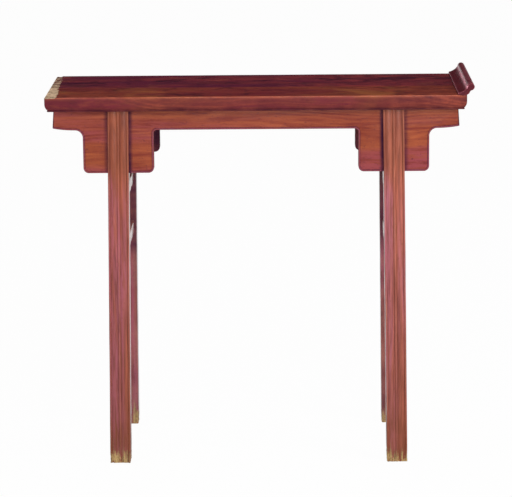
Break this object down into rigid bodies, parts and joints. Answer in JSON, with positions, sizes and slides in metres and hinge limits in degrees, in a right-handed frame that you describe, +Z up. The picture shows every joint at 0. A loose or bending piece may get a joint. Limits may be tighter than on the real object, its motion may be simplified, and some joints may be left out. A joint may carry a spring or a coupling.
{
  "type": "altar table",
  "caption": "Narrow recessed-leg altar table with a moulded plank top, an everted flange at one end, beaded aprons with spandrels, and splayed legs joined by side stretchers.",
  "frame": {"origin": "on the floor, at the middle of the overall length and of the width", "axes": "+X along the table towards the end with the flange, +Y from the front to the rear, +Z up"},
  "size_m": [0.9445, 0.326, 0.8656],
  "materials": {
    "top_wood": "old red-brown lacquer, worn at the edges, satin",
    "flange_wood": "old dark red-brown lacquer, satin",
    "frame_wood": "old red-brown lacquer rubbed thin, satin",
    "inner_wood": "bare planed wood, matt",
    "peg_wood": "bare bamboo, matt"
  },
  "bodies": {
    "root": {"top_board_front": "top_wood", "top_board_rear": "top_wood", "flange_right": "flange_wood", "leg_front_left": "frame_wood", "leg_front_right": "frame_wood", "leg_rear_left": "frame_wood", "leg_rear_right": "frame_wood", "apron_front": "frame_wood", "apron_rear": "frame_wood", "end_apron_left": "frame_wood", "end_apron_right": "frame_wood", "spandrel_front_left": "frame_wood", "spandrel_front_right": "frame_wood", "spandrel_rear_left": "frame_wood", "spandrel_rear_right": "frame_wood", "stretcher_upper_left": "frame_wood", "stretcher_upper_right": "frame_wood", "stretcher_lower_left": "frame_wood", "stretcher_lower_right": "frame_wood", "batten_left": "inner_wood", "batten_middle": "inner_wood", "batten_right": "inner_wood", "board_dowels": "inner_wood", "flange_pegs": "peg_wood", "broken_pegs": "peg_wood"}
  },
  "joints": []
}
